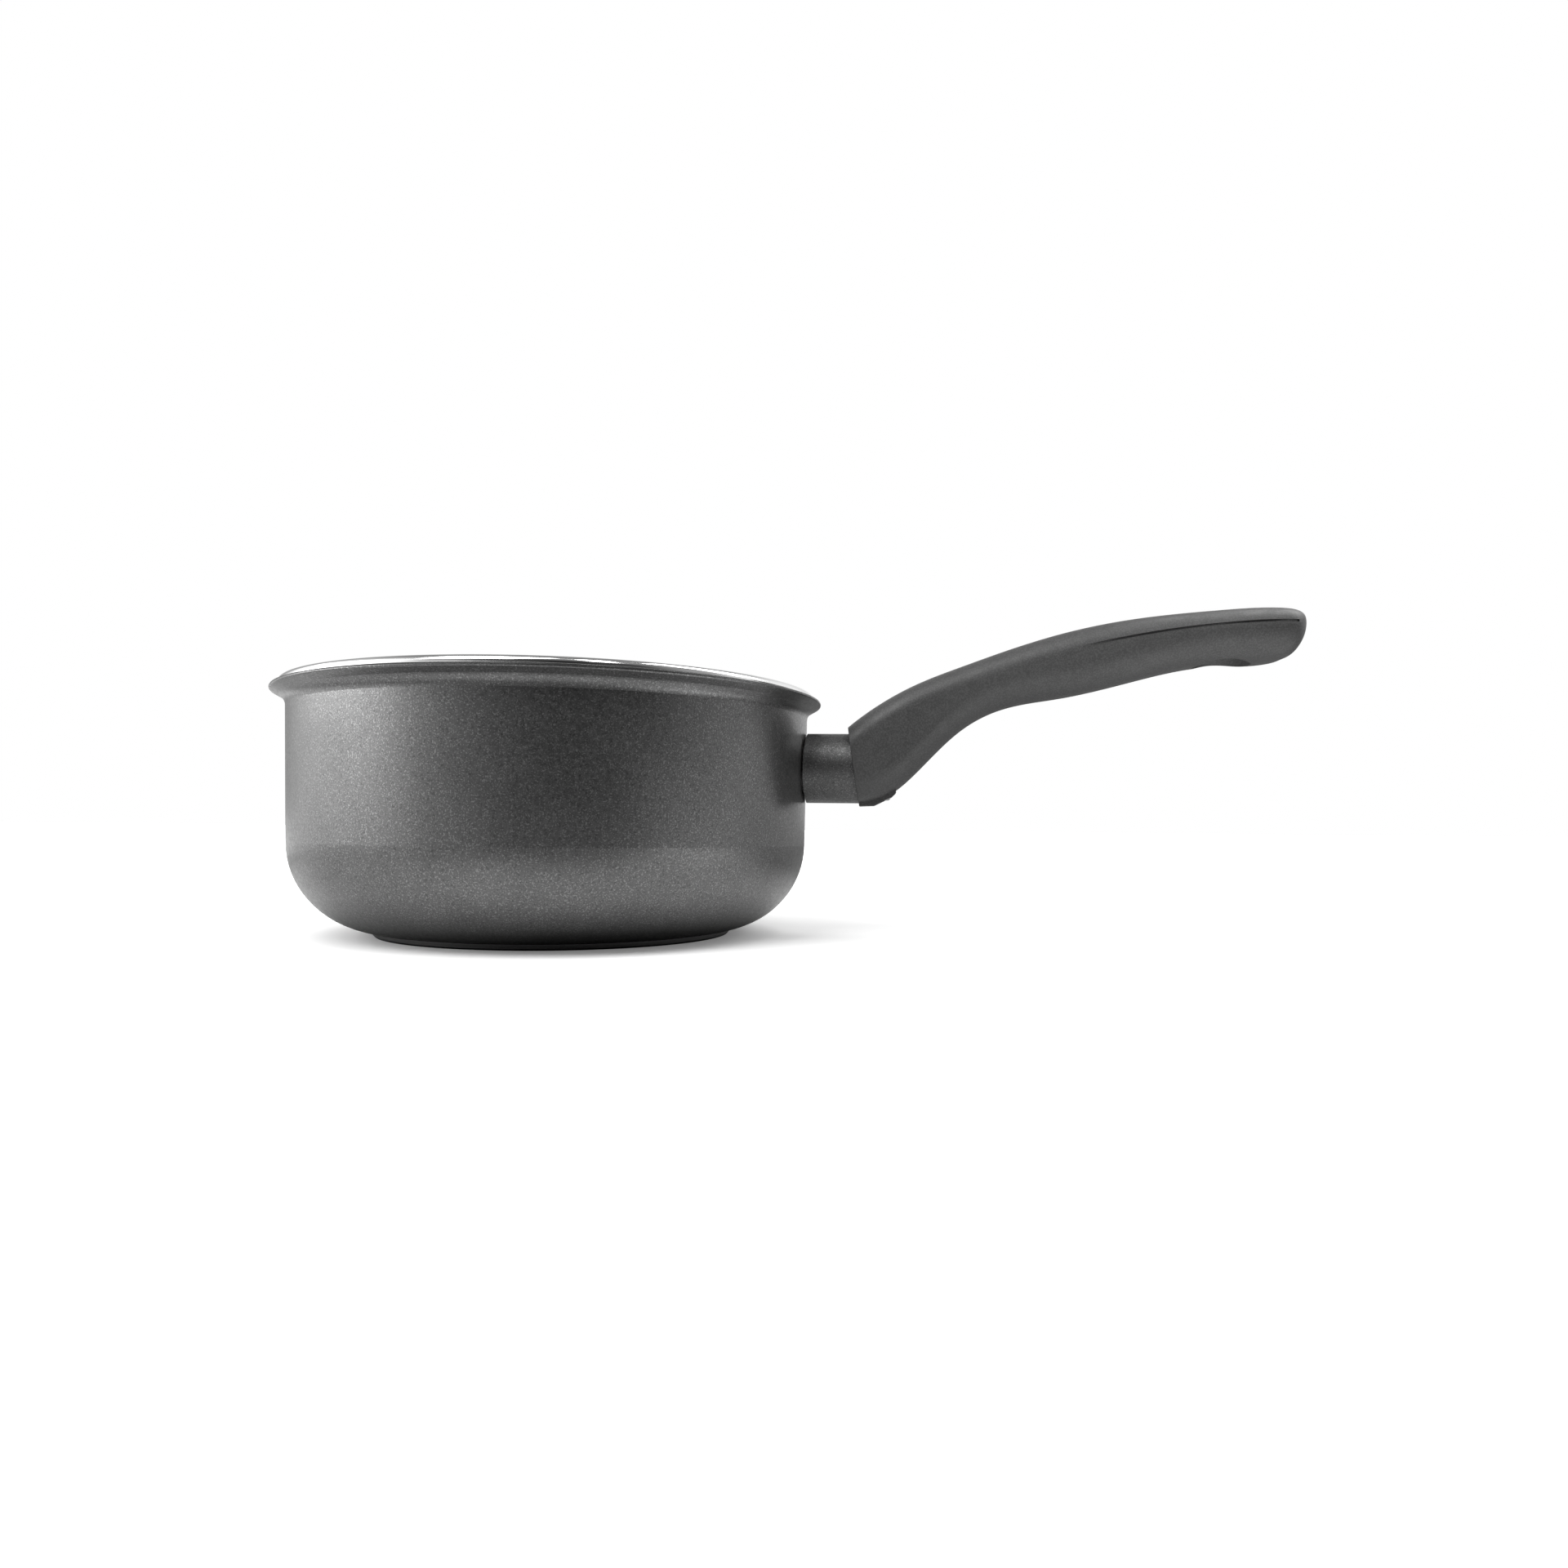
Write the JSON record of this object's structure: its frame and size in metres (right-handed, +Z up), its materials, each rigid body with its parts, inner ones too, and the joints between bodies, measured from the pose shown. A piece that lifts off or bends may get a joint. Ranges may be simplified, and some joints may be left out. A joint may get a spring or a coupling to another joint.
{
  "type": "saucepan with glass lid",
  "caption": "Small aluminium saucepan with a flared lip, a curved side handle with a hanging hole, and a steel-rimmed glass lid lying upside down on it.",
  "frame": {"origin": "on the pan's axis, in the plane the base disc stands on", "axes": "+Z up along the pan's axis, +X along the handle away from the pan, +Y to the left of the handle seen from the pan"},
  "size_m": [0.3143, 0.1686, 0.1013],
  "materials": {
    "pan_coating": "satin",
    "ferrule_coating": "satin",
    "base_steel": "satin",
    "bracket_aluminium": "satin",
    "handle_plastic": "matte",
    "screw_steel": "satin",
    "lid_glass": "gloss",
    "rim_steel": "polished",
    "silicone": "matte",
    "insert_brass": "satin"
  },
  "bodies": {
    "pan": {"pan_body": "pan_coating", "base_disc": "base_steel", "handle_bracket": "bracket_aluminium", "ferrule": "ferrule_coating", "handle": "handle_plastic", "handle_screw": "screw_steel", "lock_washer": "screw_steel"},
    "lid": {"lid_glass": "lid_glass", "lid_rim": "rim_steel", "vent_grommet": "rim_steel", "knob_gasket": "silicone", "inner_seal": "silicone", "knob_washer": "screw_steel", "heat_shield": "rim_steel", "knob": "handle_plastic", "knob_insert": "insert_brass", "knob_screw": "screw_steel"}
  },
  "joints": [
    {"name": "lid_lift", "type": "slide", "parent": "pan", "child": "lid", "axis": [0, 0, 1], "range_m": [0, 0.12]}
  ]
}
